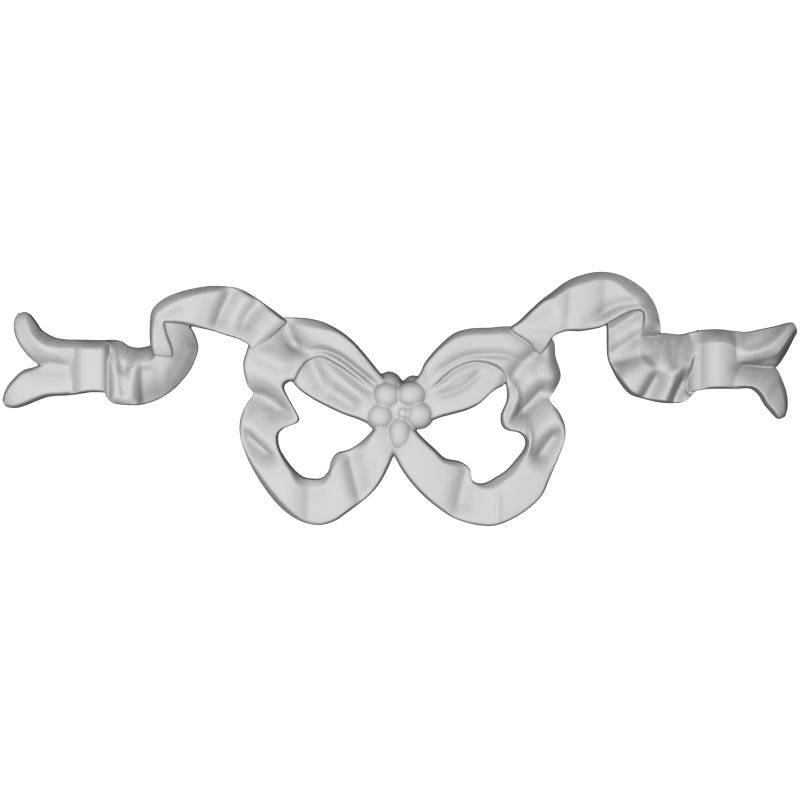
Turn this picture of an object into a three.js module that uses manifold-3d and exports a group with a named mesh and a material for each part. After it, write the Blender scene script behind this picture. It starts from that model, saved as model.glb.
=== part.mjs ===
// Bow onlay: a moulded relief of a tied ribbon, with a flat back that is glued or pinned to a flat face.
// Millimetres, +Z up. The back lies in the plane Y = 0, the relief faces -Y, and the origin is
// behind the knot. The onlay is one casting, so it is one solid.

import * as THREE from "three";
import { mergeVertices } from "three/addons/utils/BufferGeometryUtils.js";
import Module from "manifold-3d";

// Driving dimensions.
const onlayWidth = 635; // from the left tongue's tip to the right one's
const relief = 30; // from the flat back to the height that the forms below call 100
const draft = 0.8; // how far a side wall leans out from the face's edge down to the back
const evenSlope = 3.2; // an edge rounded over less than this is a quarter round, a wider one a slope

// The relief is free form, drawn on a grid of squares: x counts to the right of the origin and z up.
// Heights are in hundredths of the relief.
const squaresAcross = 793; // grid squares from tip to tip, so one square is about 0.8 mm
const square = onlayWidth / squaresAcross;

// Each ribbon is a run of stations. A station's row holds the place of edge a (x, z), the place of
// edge b (x, z), the height midway, how much edge b is higher than edge a, and how far in from edge
// a and from edge b the face has risen to its full height. A crown makes the middle fuller.
// The rims are how high the side walls stand at edge a and at edge b before the face rounds over.
// A fold is a stroke laid over the ribbon along its path: it lifts the face, or sinks it where lift
// is below zero, by that much on the path, and fades within left and right squares to each side.
// It is a sharp crease where sharp is near 1 and a round one near 2. Step is the facets' length.

// The left end's upper tongue, from its tip in to the tail.
const leftUpperTongue = {
  step: 9,
  crown: 3,
  rims: [34, 36],
  stations: [
    [-377, 88.5, -383, 87, 28, 0, 4, 4],
    [-371.5, 85, -386.8, 79, 42, 0, 5, 4],
    [-366, 78, -386, 66, 51, -3, 7, 4],
    [-360, 69.5, -379, 52, 56, -6, 9, 4],
    [-349, 63, -367, 39, 58, -10, 10, 5],
    [-338, 60.5, -352, 33, 58, -12, 9.5, 6],
    [-327, 60, -334, 28, 54, -8, 9, 6],
    [-316, 60, -320, 24, 46, -6, 9, 6],
  ],
  folds: [
    {
      path: [[-392, 42], [-368, 34], [-352, 31], [-339, 28], [-318, 24]],
      lift: -15,
      left: 11,
      right: 16,
      sharp: 1.9,
    },
    {
      path: [[-377, 92], [-369, 66], [-354, 50], [-338, 44], [-328, 36]],
      lift: 5,
      left: 5,
      right: 6,
      sharp: 2,
    },
  ],
};

// The left end's lower tongue.
const leftLowerTongue = {
  step: 9,
  crown: 3,
  rims: [26, 26],
  stations: [
    [-399, 0, -396, -6.5, 32, 0, 5, 3.5],
    [-396, 10, -387, -7.5, 43, 0, 5, 3.5],
    [-389, 20, -377, -5, 49, 0, 5, 3.5],
    [-379, 29, -365, 0, 51, 0, 5, 3.5],
    [-366, 33, -353, 4, 51, 3, 4, 3.5],
    [-350, 39, -339, 5, 51, 3, 2, 3.5],
    [-336, 40, -327, 6, 50, 3, 2, 3.5],
    [-322, 40, -316, 8, 46, 3, 2, 3.5],
  ],
  folds: [
    {
      path: [[-392, 42], [-368, 34], [-352, 31], [-339, 28], [-318, 24]],
      lift: -8,
      left: 9,
      right: 12,
      sharp: 1.9,
    },
  ],
};

// The flat stretch of the left tail, with a soft valley where the tongues meet it.
const leftTail = {
  step: 9,
  crown: 0,
  rims: [36, 56],
  stations: [
    [-336, 60, -336, 6.5, 44, 0, 9, 2.5],
    [-329, 60, -329, 6.3, 50, 0, 9, 2.5],
    [-318.5, 60, -318.5, 7.4, 68, 0, 9, 2.5],
    [-311, 59.7, -311, 8.5, 69, 0, 9, 2.5],
    [-302, 59.5, -302, 8.5, 69, 0, 9, 2.5],
    [-296, 59.5, -296, 8, 65, 0, 9, 2.5],
    [-291, 58, -291, 6, 46, 0, 9, 2.5],
    [-287, 54, -287, 4, 22, 0, 4, 2.5],
  ],
  folds: [],
};

// The pleated turn under the left arc. Its upper half slopes back to the top edge.
const leftCurl = {
  step: 4.5,
  crown: 0,
  rims: [16, 56],
  stations: [
    [-297, 60, -297, 4, 48, 0, 9, 3],
    [-291, 60, -291, -1, 61, 0, 10, 3],
    [-285, 59.5, -286, -3, 70, 0, 17, 6],
    [-279, 58, -279, -4, 79, 0, 25, 8],
    [-272, 53.5, -270, -4.5, 83, 0, 24, 9],
    [-262, 52, -260, -4, 83, 0, 18, 9],
    [-252, 54, -249, -1, 81, 0, 18, 9],
    [-245, 56, -238, 4, 74, -4, 12, 7],
    [-242, 56, -226, 13, 60, -22, 4, 4],
    [-240, 57, -213, 28, 48, -46, 2, 3],
    [-240, 60, -206, 42, 43, -56, 2, 3],
    [-240, 65, -203.5, 54, 41, -58, 2, 3],
    [-241, 71, -207, 66, 40, -58, 2, 3],
    [-242, 79, -213, 76, 38, -56, 2, 3],
  ],
  folds: [
    { path: [[-304, 66], [-287, 46], [-277, 33], [-266, 18]], lift: -16, left: 8, right: 5, sharp: 1.8 },
    { path: [[-281, 42], [-277, 20], [-274, -6]], lift: -13, left: 10, right: 5, sharp: 1.8 },
    { path: [[-258.5, 48], [-257.5, 14], [-257, -20]], lift: -24, left: 14, right: 7, sharp: 1.8 },
    { path: [[-251, 60], [-247, 28], [-243, -8]], lift: -12, left: 8, right: 12, sharp: 1.8 },
  ],
};

// The ribbon that swings over from the left curl to the left loop.
const leftArc = {
  step: 8,
  crown: 1,
  rims: [48, 54],
  stations: [
    [-247, 45, -227.5, 43.5, 74, -18, 4, 2],
    [-250, 56, -228, 52, 79, -14, 5, 2],
    [-250.5, 74, -232.5, 66, 83, 0, 6, 2],
    [-248.5, 89, -235, 76.5, 82, 6, 8, 2],
    [-240, 99, -230, 77.5, 80, 4, 9, 3],
    [-227, 106, -222, 77, 80, 4, 9, 3],
    [-210, 111, -214, 76, 80, 0, 8, 3],
    [-190, 114, -200, 73, 80, 0, 8, 3],
    [-170, 113, -187, 70, 80, 0, 7, 3],
    [-159, 110, -175, 66, 80, 0, 6, 3],
    [-148, 104, -162, 62, 80, 0, 5, 3],
    [-135, 95, -153, 57, 78, 0, 4, 3],
    [-124, 87, -149.5, 52, 76, 0, 3.5, 3],
    [-118, 82.3, -147.8, 50, 71, 0, 3.5, 2],
    [-113, 78.5, -146, 47.5, 60, 0, 2, 2],
  ],
  folds: [
    {
      path: [[-160, 138], [-171, 104], [-179, 86], [-192, 48]],
      lift: -30,
      left: 18,
      right: 8,
      sharp: 1.8,
    },
    {
      path: [[-124, 128], [-142, 97], [-153, 82], [-170, 42]],
      lift: -28,
      left: 16,
      right: 9,
      sharp: 1.8,
    },
    { path: [[-180, 124], [-192, 90], [-204, 58]], lift: -6, left: 12, right: 8, sharp: 2 },
    { path: [[-248, 70], [-243, 82], [-228, 92], [-204, 100]], lift: -6, left: 7, right: 7, sharp: 2 },
  ],
};

// The left loop, from the knot over the top, round the bow and back under the knot.
const leftLoop = {
  step: 9,
  crown: 2,
  rims: [42, 41],
  stations: [
    [-6, 10, -16, -6, 40, 0, 4, 4],
    [-19, 25, -28, 8, 54, -2, 4, 4],
    [-36, 46, -50, 26, 67, -2, 3, 4],
    [-49, 60, -65, 36, 70, -4, 3, 4],
    [-63, 70.5, -80, 43, 71, -6, 4.5, 4],
    [-80, 78.5, -92, 40, 69, -2, 9, 4],
    [-100, 82, -100, 30, 68, -2, 9, 4],
    [-125, 80, -105, 20, 62, 0, 8, 4],
    [-147, 62, -112, 19, 62, 0, 4, 3],
    [-155, 45, -117, 14, 64, 0, 4, 3],
    [-157, 33, -114, 5, 64, 0, 4, 3],
    [-153, 15, -107, -8, 60, 0, 4, 3],
    [-147, 6, -102, -18, 58, 0, 4, 3],
    [-154, -5, -105, -23, 62, 0, 4, 3],
    [-159.5, -18, -117, -28, 65, 0, 4, 3],
    [-160.5, -32, -123, -35, 65, 0, 4, 2],
    [-157.5, -46, -122, -47, 64, 0, 4.5, 2],
    [-149, -66, -117, -57, 65, 0, 5, 2.5],
    [-135, -89, -108, -69, 66, 0, 6, 5],
    [-119, -108, -99, -77, 66, 0, 6.5, 9],
    [-101, -120.5, -90, -79.5, 64, 0, 5, 10],
    [-82, -125, -79, -79, 65, 0, 3.5, 9],
    [-66, -121, -72, -72, 65, 0, 3, 8],
    [-54, -113, -69, -62, 65, 0, 3, 8],
    [-42, -104, -63, -54, 65, 0, 3, 8],
    [-30, -94, -50, -50, 66, 0, 3, 8],
    [-20, -82, -38, -42, 67, 0, 3.5, 7],
    [-12, -67, -29, -33, 65, 0, 4, 5],
    [-5, -53, -20, -23, 58, 0, 5, 4],
    [6, -44, -8, -18, 46, 0, 5, 4],
  ],
  folds: [
    {
      path: [[-98, 50], [-77, 50], [-60, 43], [-44, 31], [-28, 18], [-8, 0]],
      lift: -12,
      left: 3.5,
      right: 3.5,
      sharp: 1.8,
    },
    {
      path: [[-96, 100], [-112, 78], [-121, 68], [-132, 58], [-150, 44]],
      lift: -13,
      left: 9,
      right: 6,
      sharp: 1.8,
    },
    { path: [[-118, 94], [-113, 74], [-106, 58], [-97, 42]], lift: -15, left: 9, right: 15, sharp: 1.8 },
    { path: [[-124, 70], [-106, 55], [-91, 47], [-66, 40]], lift: -16, left: 11, right: 9, sharp: 1.9 },
    { path: [[-150, 49], [-128, 41], [-104, 30]], lift: 8, left: 8, right: 8, sharp: 2 },
    {
      path: [[-182, 7], [-147, 6], [-131, 0], [-118, -11], [-94, -38]],
      lift: -34,
      left: 11,
      right: 24,
      sharp: 1.8,
    },
    {
      path: [[-154, -28], [-143, -40], [-134, -50], [-122, -64]],
      lift: -30,
      left: 7,
      right: 8,
      sharp: 1.2,
    },
    { path: [[-90, -66], [-89, -154]], lift: -13, left: 22, right: 12, sharp: 1.9 },
    {
      path: [[-56, -34], [-48, -66], [-43, -86], [-35, -122]],
      lift: -22,
      left: 20,
      right: 8,
      sharp: 1.7,
    },
  ],
};

// The inner face of the left loop, seen below its top band.
const leftLining = {
  step: 9,
  crown: 3,
  rims: [36, 36],
  stations: [
    [-106, 27, -109, 20, 40, 0, 3, 3],
    [-103, 37, -101, 11, 50, 0, 3, 3],
    [-88, 45, -88, 2, 52, 8, 3, 3],
    [-70, 43, -74, -5.5, 53, 10, 3, 3],
    [-51, 33, -58, -13, 54, 10, 3, 3],
    [-33, 19, -40, -19.5, 53, 8, 3, 3],
    [-20, 8, -27, -26, 52, 2, 3, 3],
  ],
  folds: [
    { path: [[-88, 44], [-68, 28], [-44, 8], [-20, -8]], lift: 10, left: 6, right: 8, sharp: 1.9 },
    { path: [[-98, 56], [-87, 34], [-80, 18], [-74, -6]], lift: -13, left: 10, right: 11, sharp: 1.9 },
    { path: [[-76, 14], [-57, 1], [-36, -12]], lift: -11, left: 9, right: 9, sharp: 2 },
  ],
};

// The right loop, the same way round as seen in a mirror.
const rightLoop = {
  step: 9,
  crown: 2,
  rims: [48, 40],
  stations: [
    [8, 10, 16, -8, 40, 0, 3, 4],
    [20, 26, 28, 4, 54, -2, 3, 4],
    [26, 38, 38, 16, 65, -2, 3, 4],
    [39, 53, 52, 29, 69, -4, 4, 4],
    [54, 66, 66, 36, 69, -3, 6, 4],
    [70, 71, 80, 38, 69, -2, 7.5, 4],
    [90, 72, 95, 34, 69, -2, 7.5, 4],
    [112, 73, 104, 26, 68, -2, 7.5, 4],
    [134, 66, 107, 15, 65, 0, 8, 4],
    [153, 60, 108, 7, 64, 0, 4, 4],
    [156, 43, 107, -2, 64, 0, 4, 4],
    [161, 24, 102, -14, 64, 0, 4, 4],
    [155, 9, 103, -25, 62, 0, 5, 4],
    [149.5, 0, 109, -30, 61, 0, 5, 3],
    [159, -12, 120, -32.5, 64, 0, 6, 3],
    [165, -26, 126, -39, 64, 0, 5, 3],
    [165, -40, 125.5, -48, 62, 0, 4, 4],
    [158.5, -58, 117, -60, 62, 0, 3.5, 7],
    [150, -78, 107, -71, 63, 0, 3.5, 9],
    [141, -97, 96.5, -78, 64, 0, 3, 9],
    [122, -113.5, 88, -83, 64, 0, 3, 8],
    [98, -125, 80, -84.5, 64, 0, 3, 5],
    [78, -125, 72.5, -81, 63, 0, 3, 5],
    [58, -119.5, 70, -70, 62, 0, 3, 8],
    [43, -111, 60, -62.5, 64, 0, 3.5, 7],
    [27, -98.5, 45, -59, 65, 0, 3.5, 5],
    [13, -84, 35, -50, 66, 0, 3.5, 4],
    [2, -69, 23, -39, 65, 0, 3.5, 4],
    [-6, -54, 13, -28, 58, 0, 4, 4],
    [-10, -44, 6, -20, 46, 0, 5, 4],
  ],
  folds: [
    {
      path: [[20, 14], [44, 32], [66, 43], [94, 45.5], [114, 42], [136, 32]],
      lift: -11,
      left: 5,
      right: 4.5,
      sharp: 1.8,
    },
    {
      path: [[158, 62], [135, 46], [122, 35], [113, 22], [106, -2]],
      lift: -26,
      left: 18,
      right: 9,
      sharp: 1.8,
    },
    {
      path: [[94, 84], [117, 70], [131, 60], [140, 49], [150, 32]],
      lift: -24,
      left: 6,
      right: 7,
      sharp: 1.8,
    },
    { path: [[148, 54], [142, 32], [146, 4]], lift: 5, left: 7, right: 7, sharp: 2 },
    {
      path: [[156, 22], [143, 10], [132, -1], [121, -12], [106, -28]],
      lift: -46,
      left: 20,
      right: 9.5,
      sharp: 1.8,
    },
    { path: [[108, 26], [117, 6], [115, -8], [104, -28]], lift: 8, left: 3, right: 3, sharp: 2 },
    {
      path: [[154, -24], [144, -39], [138, -52], [132, -70]],
      lift: -36,
      left: 10,
      right: 8,
      sharp: 1.3,
    },
    { path: [[129, -22], [130, -42], [126, -60]], lift: 8, left: 3, right: 3, sharp: 2 },
    { path: [[98, -84], [98, -134]], lift: 3, left: 3, right: 3, sharp: 1.8 },
    { path: [[72, -46], [64, -80], [60, -98], [54, -134]], lift: -18, left: 20, right: 10, sharp: 1.7 },
    {
      path: [[158, 78], [157, 60], [159, 43], [164, 24], [157, 8], [146, -10]],
      lift: -44,
      left: 9,
      right: 8,
      sharp: 1.8,
    },
  ],
};

// The inner face of the right loop.
const rightLining = {
  step: 9,
  crown: 3,
  rims: [36, 36],
  stations: [
    [106, 22, 104, 15, 38, 0, 3, 3],
    [104, 33, 94, 9.5, 49, 4, 3, 3],
    [94, 40, 80, -3, 52, 10, 3, 3],
    [76, 43, 67, -9.5, 54, 10, 3, 3],
    [58, 38, 53, -13.5, 55, 10, 3, 3],
    [42, 26, 40, -17, 54, 8, 3, 3],
    [26, 16, 26, -22, 50, 2, 3, 3],
    [12, 8, 14, -20, 46, 0, 3, 3],
  ],
  folds: [
    { path: [[18, 0], [44, 15], [62, 27], [90, 36]], lift: 7, left: 5, right: 4, sharp: 1.9 },
    { path: [[30, 2], [56, 9], [72, 20], [86, 34]], lift: -7, left: 4, right: 4, sharp: 1.9 },
  ],
};

// The ribbon that swings over from the right loop to the right curl.
const rightArc = {
  step: 8,
  crown: 1,
  rims: [40, 54],
  stations: [
    [134, 50, 141, 46, 48, 0, 4, 3],
    [129, 57, 146, 53, 62, 0, 4, 3],
    [120, 63, 150, 60, 71, 0, 4, 3],
    [110, 71, 155, 65, 74, 0, 4, 4],
    [120, 79, 160, 67.5, 76, 0, 3.5, 3],
    [131, 89.5, 164, 69, 77, 0, 3.5, 3],
    [142, 99.5, 168, 70, 78, 0, 4, 3],
    [152, 107, 173, 70, 79, 0, 6, 3],
    [166, 117.5, 181, 70, 80, 0, 8, 3],
    [180, 124, 191, 71.5, 80, 0, 9, 3],
    [198, 128, 202, 74, 80, 0, 9, 3],
    [216, 126.5, 211, 79, 80, 0, 10, 3],
    [233, 119, 223, 85.5, 80, 0, 14, 3],
    [247, 108, 235, 90, 80, 0, 15, 3],
    [256, 94, 243, 88, 80, 0, 14, 2.5],
    [260, 79, 243.5, 78, 77, 0, 14, 2.5],
    [261, 71, 242, 68, 58, 4, 13, 2.5],
    [260, 64, 240, 60, 36, 6, 12, 2.5],
    [257, 55, 238, 52, 16, 4, 10, 3],
  ],
  folds: [
    { path: [[208, 142], [206, 112], [205, 92], [204, 76]], lift: -8, left: 14, right: 8, sharp: 2 },
    { path: [[170, 122], [168, 88], [167, 52]], lift: -6, left: 8, right: 5, sharp: 1.7 },
    { path: [[112, 88], [134, 86], [156, 96]], lift: -6, left: 8, right: 9, sharp: 1.8 },
    { path: [[178, 68], [206, 89], [228, 96.5], [258, 95]], lift: -11, left: 7, right: 5, sharp: 2 },
  ],
};

// The deeply pleated turn under the right arc.
const rightCurl = {
  step: 5,
  crown: 0,
  rims: [16, 42],
  stations: [
    [246, 94, 208, 84, 66, 0, 6, 3],
    [248, 82, 208.5, 70, 68, 0, 6, 3],
    [248, 72, 208.5, 55, 68, 0, 6, 3],
    [250, 68, 209.5, 42, 74, 0, 14, 3],
    [254, 66, 213.5, 32, 80, 0, 20, 3],
    [258, 66, 220, 20, 86, 0, 28, 3],
    [262, 66.5, 231, 7, 90, 0, 35, 3],
    [268, 66.5, 245, 2, 92, 0, 38, 3],
    [276, 65.5, 260, -1.5, 92, 0, 40, 3],
    [284, 65.5, 274, -2.5, 90, 0, 37, 3],
    [291, 66, 285, -1, 78, 0, 35, 3],
    [296, 68, 292, 4, 60, 0, 24, 3],
    [300, 70, 297, 10, 46, 0, 16, 3],
  ],
  folds: [
    { path: [[192, 58], [214, 72], [231, 83], [252, 98]], lift: -24, left: 7, right: 13, sharp: 1.8 },
    { path: [[190, 34], [214, 48], [232, 58], [256, 76]], lift: -30, left: 8, right: 15, sharp: 1.8 },
    { path: [[196, 30], [218, 38], [240, 43], [262, 44]], lift: -18, left: 8, right: 15, sharp: 1.8 },
    { path: [[216, 18], [236, 32], [250, 44]], lift: 6, left: 8, right: 8, sharp: 2 },
    { path: [[233, -16], [245, 4], [253, 18], [265, 40]], lift: -36, left: 6.5, right: 15, sharp: 1.8 },
    { path: [[268, -20], [275, 1], [281, 15], [290, 38]], lift: -50, left: 6, right: 12, sharp: 1.8 },
    { path: [[288, 2], [291, 14], [295, 30], [298, 52]], lift: -26, left: 4, right: 5, sharp: 1.6 },
    { path: [[273, 68], [273, 26]], lift: -10, left: 5, right: 5, sharp: 1.8 },
    { path: [[256, 66], [254, 28]], lift: -8, left: 5, right: 5, sharp: 1.8 },
  ],
};

// The flat stretch of the right tail, with a soft crest down its middle.
const rightTail = {
  step: 9,
  crown: 0,
  rims: [38, 62],
  stations: [
    [286, 66, 286, 7, 20, 0, 13, 2.5],
    [292, 67.5, 292, 8.5, 44, 0, 13, 2.5],
    [300, 69, 300, 10.5, 57, 0, 13, 2.5],
    [307, 70, 307, 11.5, 71, 0, 13, 2.5],
    [315, 70.5, 315, 12, 79, 0, 13, 2.5],
    [323, 70.3, 323, 12, 79, 0, 13, 2.5],
    [331, 69.3, 331, 12, 68, 0, 14, 2.5],
    [339, 68, 339, 12, 52, 0, 17, 2.5],
    [346, 67, 346, 12.5, 36, 0, 20, 2.5],
    [352, 66, 352, 14, 20, 0, 20, 2.5],
  ],
  folds: [
    { path: [[324, 29], [342, 33], [360, 37], [400, 46]], lift: -16, left: 6, right: 7, sharp: 1.8 },
  ],
};

// The right end's upper tongue, out to its tip.
const rightUpperTongue = {
  step: 9,
  crown: 2,
  rims: [38, 14],
  stations: [
    [316, 70, 316, 30, 44, 0, 13, 6],
    [328, 69.5, 328, 31, 57, 0, 14, 5],
    [338, 68.5, 338, 31.5, 63, -2, 17, 6],
    [348, 67.8, 348, 32, 65, -4, 20, 8],
    [358, 69.5, 360, 32, 67, -6, 20, 10.5],
    [370, 72, 377, 33, 66, -8, 16, 14],
    [381, 74.5, 387, 45, 60, -6, 9, 12],
    [389, 76.8, 394, 58, 50, -4, 5, 9],
    [394.5, 77.5, 399.5, 69, 36, 0, 4, 5],
  ],
  folds: [
    {
      path: [[336, 43], [350, 47], [364, 52], [376, 60], [392, 76]],
      lift: 6,
      left: 6,
      right: 7,
      sharp: 2,
    },
    { path: [[324, 29], [342, 33], [360, 37], [400, 46]], lift: -16, left: 6, right: 7, sharp: 1.8 },
  ],
};

// The right end's lower tongue.
const rightLowerTongue = {
  step: 9,
  crown: 2,
  rims: [16, 36],
  stations: [
    [316, 42, 316, 12, 56, 10, 3, 2.5],
    [328, 42, 328, 12.2, 60, 16, 3, 2.5],
    [339, 41, 339, 12.2, 58, 26, 3, 2.5],
    [350, 39, 347, 12.5, 53, 36, 3, 2.5],
    [363, 36, 354, 11.5, 50, 44, 3, 2.5],
    [377, 32, 360.5, 6, 49, 46, 3, 2.5],
    [383.5, 21, 366.5, -4, 49, 42, 6, 2.5],
    [388.5, 7, 373, -11.5, 48, 32, 7, 2.5],
    [389.5, -7, 378.5, -17.5, 42, 20, 6, 2.5],
    [387, -16.5, 382, -19, 28, 0, 3, 2.5],
  ],
  folds: [
    { path: [[324, 29], [342, 33], [360, 37], [400, 46]], lift: -10, left: 6, right: 7, sharp: 1.8 },
  ],
};

const ribbons = [
  leftUpperTongue,
  leftLowerTongue,
  leftTail,
  leftCurl,
  leftArc,
  leftLoop,
  leftLining,
  rightLoop,
  rightLining,
  rightArc,
  rightCurl,
  rightTail,
  rightUpperTongue,
  rightLowerTongue,
];

// The knot is a cluster of round petals on a low boss, with a button in the middle. Each is a dome:
// its middle, its half width and half height, its turn in degrees, the height that it starts from
// and how much it rises above that.
const petals = [
  { x: -15, z: 5.5, wide: 14.5, tall: 13.5, turn: 0, foot: 43, rise: 30 },
  { x: 10.5, z: 6, wide: 15, tall: 12.5, turn: 6, foot: 43, rise: 30 },
  { x: 19.5, z: -15, wide: 14.5, tall: 14.5, turn: 0, foot: 40, rise: 31 },
  { x: 0, z: -32.5, wide: 13, tall: 18.5, turn: 0, foot: 39, rise: 32 },
  { x: -19.5, z: -14.5, wide: 15, tall: 13.5, turn: 0, foot: 39, rise: 32 },
  { x: -10, z: 9, wide: 15, tall: 20, turn: 6, foot: 4, rise: 56 },
  { x: 12.5, z: 8, wide: 12.5, tall: 17, turn: -4, foot: 4, rise: 54 },
  { x: 0, z: -8, wide: 27, tall: 25, turn: 0, foot: 40, rise: 21 },
  { x: 3, z: -13.5, wide: 4.5, tall: 4.5, turn: 0, foot: 58, rise: 12 },
];

const columns = 9; // facets across a ribbon
const edgeCrowding = 0.55; // 0 spreads them evenly, towards 1 crowds them at the edges
const petalSides = 14;
const petalRings = 3; // facets from a petal's foot up to its top
const foldSteps = 12; // straight pieces between two points of a fold's path
const foldFade = 0.3; // share of a fold's path over which it fades in, and out again

const wasm = await Module();
wasm.setup();

// The row at place u of a smooth curve through rows of numbers: 0 is the first row, 1 the second.
function rowAt(rows, u) {
  const last = rows.length - 1;
  const i = Math.min(Math.floor(u), last - 1);
  const f = u - i;
  const from = rows[i];
  const to = rows[i + 1];
  const before = i > 0 ? rows[i - 1] : from.map((v, k) => 2 * v - to[k]);
  const after = i + 2 <= last ? rows[i + 2] : to.map((v, k) => 2 * v - from[k]);
  return from.map((v, k) => {
    const pull = to[k] - before[k];
    const bend = 2 * before[k] - 5 * v + 4 * to[k] - after[k];
    const twist = 3 * v - before[k] - 3 * to[k] + after[k];
    return v + (pull * f + bend * f ** 2 + twist * f ** 3) / 2;
  });
}

// The height of a face at a distance in from an edge, between the rim and the full height.
function roundedOver(rim, full, distance, roll) {
  const short = THREE.MathUtils.clamp(1 - distance / roll, 0, 1);
  const power = 1 + Math.min(1, (evenSlope / square / roll) ** 2);
  const wall = Math.min(rim, full);
  return wall + (full - wall) * (1 - short ** power) ** (1 / power);
}

function foldLine(fold) {
  const line = [];
  const steps = foldSteps * (fold.path.length - 1);
  for (let i = 0; i <= steps; i += 1) {
    line.push(rowAt(fold.path, i / foldSteps));
  }
  return line;
}

// What a fold adds to the height at (x, z).
function foldLift(fold, line, x, z) {
  let nearest = Infinity;
  let leftOfPath = false;
  let along = 0;
  for (let i = 0; i + 1 < line.length; i += 1) {
    const dx = line[i + 1][0] - line[i][0];
    const dz = line[i + 1][1] - line[i][1];
    const px = x - line[i][0];
    const pz = z - line[i][1];
    const k = THREE.MathUtils.clamp((px * dx + pz * dz) / (dx * dx + dz * dz), 0, 1);
    const distance = Math.hypot(px - k * dx, pz - k * dz);
    if (distance < nearest) {
      nearest = distance;
      leftOfPath = dx * pz - dz * px > 0;
      along = (i + k) / (line.length - 1);
    }
  }
  const width = leftOfPath ? fold.left : fold.right;
  const fade = THREE.MathUtils.smoothstep(Math.min(along, 1 - along), 0, foldFade);
  return fold.lift * Math.exp(-((nearest / width) ** fold.sharp)) * fade;
}

// The ribbon's cross sections: for each, the points of its face from edge a to edge b, with their
// heights in millimetres, and the two points where its walls meet the back.
function crossSections(ribbon) {
  const lines = ribbon.folds.map(foldLine);
  const sections = [];
  const last = ribbon.stations.length - 1;
  for (let i = 0; i <= last; i += 1) {
    const here = ribbon.stations[i];
    const next = ribbon.stations[Math.min(i + 1, last)];
    const reach = Math.max(
      Math.hypot(next[0] - here[0], next[1] - here[1]),
      Math.hypot(next[2] - here[2], next[3] - here[3]),
    );
    const steps = i < last ? Math.max(1, Math.round(reach / ribbon.step)) : 1;
    for (let k = 0; k < steps; k += 1) {
      sections.push(crossSection(ribbon, lines, rowAt(ribbon.stations, i + k / steps)));
    }
  }
  return sections;
}

function crossSection(ribbon, lines, row) {
  const [ax, az, bx, bz, height, tip, rollA, rollB] = row;
  const [rimA, rimB] = ribbon.rims;
  const width = Math.hypot(bx - ax, bz - az);
  const face = [];
  for (let j = 0; j <= columns; j += 1) {
    const even = j / columns;
    const t = even - (edgeCrowding * Math.sin(2 * Math.PI * even)) / (2 * Math.PI);
    const x = ax + (bx - ax) * t;
    const z = az + (bz - az) * t;
    let full = height + tip * (t - 0.5) + ribbon.crown * (1 - (2 * t - 1) ** 2);
    ribbon.folds.forEach((fold, n) => {
      full += foldLift(fold, lines[n], x, z);
    });
    const fromA = roundedOver(rimA, full, t * width, rollA);
    const fromB = roundedOver(rimB, full, (1 - t) * width, rollB);
    face.push([x * square, z * square, (Math.min(fromA, fromB) / 100) * relief]);
  }
  const outX = ((bx - ax) / width) * draft;
  const outZ = ((bz - az) / width) * draft;
  const footA = [ax * square - outX, az * square - outZ, 0];
  const footB = [bx * square + outX, bz * square + outZ, 0];
  return [footA, ...face, footB];
}

// A closed solid through the cross sections. Its back is flat, so it needs no points but the feet.
function ribbonSolid(ribbon) {
  const sections = crossSections(ribbon);
  const ring = sections[0].length;
  const points = sections.flat();
  const triangles = [];
  for (let i = 0; i + 1 < sections.length; i += 1) {
    for (let j = 0; j < ring; j += 1) {
      const here = i * ring + j;
      const beside = i * ring + ((j + 1) % ring);
      triangles.push([here, beside, here + ring]);
      triangles.push([beside, beside + ring, here + ring]);
    }
  }
  const end = (sections.length - 1) * ring;
  for (let j = 1; j + 1 < ring; j += 1) {
    triangles.push([0, j + 1, j]);
    triangles.push([end, end + j, end + j + 1]);
  }
  return solidOf(points, triangles);
}

// A petal: a dome on a straight wall, closed flat at the back.
function petalSolid(petal) {
  const foot = (petal.foot / 100) * relief;
  const profile = [new THREE.Vector2(0, 0), new THREE.Vector2(1, 0)];
  for (let i = 0; i <= petalRings; i += 1) {
    const angle = (i / petalRings) * (Math.PI / 2);
    const height = foot + (petal.rise / 100) * relief * Math.sin(angle);
    profile.push(new THREE.Vector2(i < petalRings ? Math.cos(angle) : 0, height));
  }
  const dome = new THREE.LatheGeometry(profile, petalSides);
  dome.scale(petal.wide * square, 1, petal.tall * square);
  dome.rotateY(THREE.MathUtils.degToRad(petal.turn));
  dome.deleteAttribute("normal");
  dome.deleteAttribute("uv");
  const merged = mergeVertices(dome);
  const place = merged.getAttribute("position");
  const points = [];
  for (let i = 0; i < place.count; i += 1) {
    points.push([place.getX(i) + petal.x * square, petal.z * square - place.getZ(i), place.getY(i)]);
  }
  const triangles = [];
  for (let i = 0; i < merged.index.count; i += 3) {
    const corners = [0, 1, 2].map((k) => merged.index.getX(i + k));
    if (new Set(corners).size === 3) {
      triangles.push(corners);
    }
  }
  return solidOf(points, triangles);
}

// Points are x, z and the height in front of the back, and the solid comes out facing outwards.
function solidOf(points, triangles) {
  const vertProperties = new Float32Array(points.flatMap(([x, z, height]) => [x, -height, z]));
  const make = (faces) => {
    const triVerts = new Uint32Array(faces.flat());
    return new wasm.Manifold(new wasm.Mesh({ numProp: 3, vertProperties, triVerts }));
  };
  const solid = make(triangles);
  return solid.volume() > 0 ? solid : make(triangles.map(([p, q, r]) => [p, r, q]));
}

function geometryOf(solid) {
  const mesh = solid.getMesh();
  const geometry = new THREE.BufferGeometry();
  geometry.setAttribute("position", new THREE.BufferAttribute(mesh.vertProperties, 3));
  geometry.setIndex(new THREE.BufferAttribute(mesh.triVerts, 1));
  return geometry;
}

const pieces = [...ribbons.map(ribbonSolid), ...petals.map(petalSolid)];
const casting = pieces.reduce((whole, piece) => whole.add(piece));

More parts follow.
